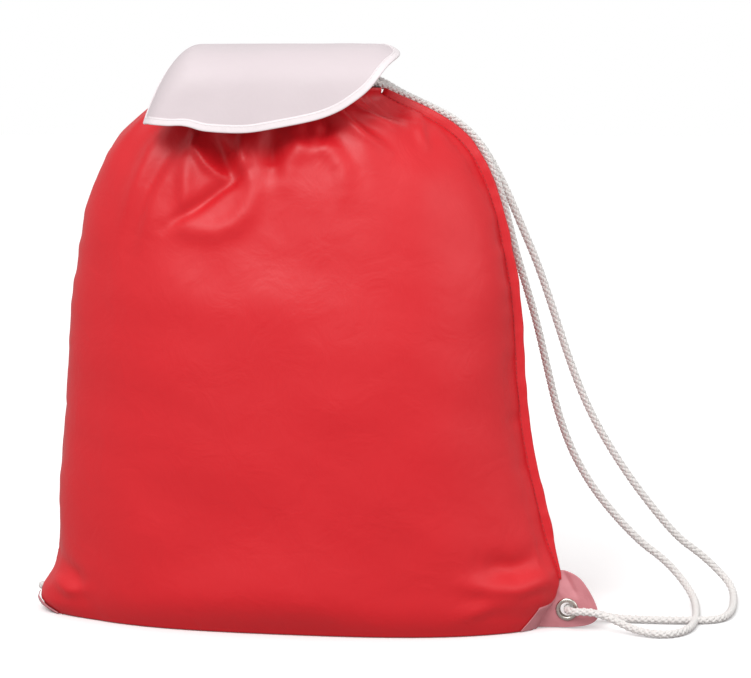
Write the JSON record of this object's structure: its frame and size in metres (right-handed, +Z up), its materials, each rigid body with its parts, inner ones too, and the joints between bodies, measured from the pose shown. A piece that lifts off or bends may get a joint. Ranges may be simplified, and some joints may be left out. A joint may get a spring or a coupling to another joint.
{
  "type": "drawstring backpack",
  "caption": "Soft drawstring backpack with a gathered mouth, a D-shaped flap over it, cord shoulder straps and eyelets in corner tabs.",
  "frame": {"origin": "on the floor, at the centre of the base that the filled bag stands on", "axes": "+Z up, -Y the front that carries the hanging flap, +X to the right of a person looking at the front"},
  "size_m": [0.4318, 0.2037, 0.3478],
  "materials": {
    "red_cloth": "calendered red polyester taffeta with a soft sheen",
    "white_cloth": "white polyester taffeta, hemmed and stitched",
    "cord_yarn": "white braided polypropylene cord",
    "eyelet_metal": "nickel-plated pressed brass",
    "join_sleeve": "clear shrunk sleeve over the cord's ends"
  },
  "bodies": {
    "bag": {"front_panel": "red_cloth", "back_panel": "red_cloth", "right_side_seam": "red_cloth", "left_side_seam": "red_cloth", "bottom_seam_allowance": "red_cloth", "front_tunnel": "red_cloth", "back_tunnel": "red_cloth", "flap_anchor": "white_cloth", "right_corner_tab_front": "white_cloth", "right_corner_tab_rear": "white_cloth", "left_corner_tab_front": "white_cloth", "left_corner_tab_rear": "white_cloth", "right_eyelet": "eyelet_metal", "right_eyelet_washer": "eyelet_metal", "left_eyelet": "eyelet_metal", "left_eyelet_washer": "eyelet_metal", "right_drawcord_strap": "cord_yarn", "left_drawcord_strap": "cord_yarn", "right_drawcord_tunnel": "cord_yarn", "left_drawcord_tunnel": "cord_yarn", "right_cord_join": "join_sleeve", "left_cord_join": "join_sleeve"},
    "flap": {"flap": "white_cloth", "flap_hem": "white_cloth"}
  },
  "joints": [
    {"name": "flap_hinge", "type": "hinge", "parent": "bag", "child": "flap", "pos_m": [0, 0.0305, 0.338], "axis": [-1, 0, 0], "range_deg": [0, 165]}
  ]
}
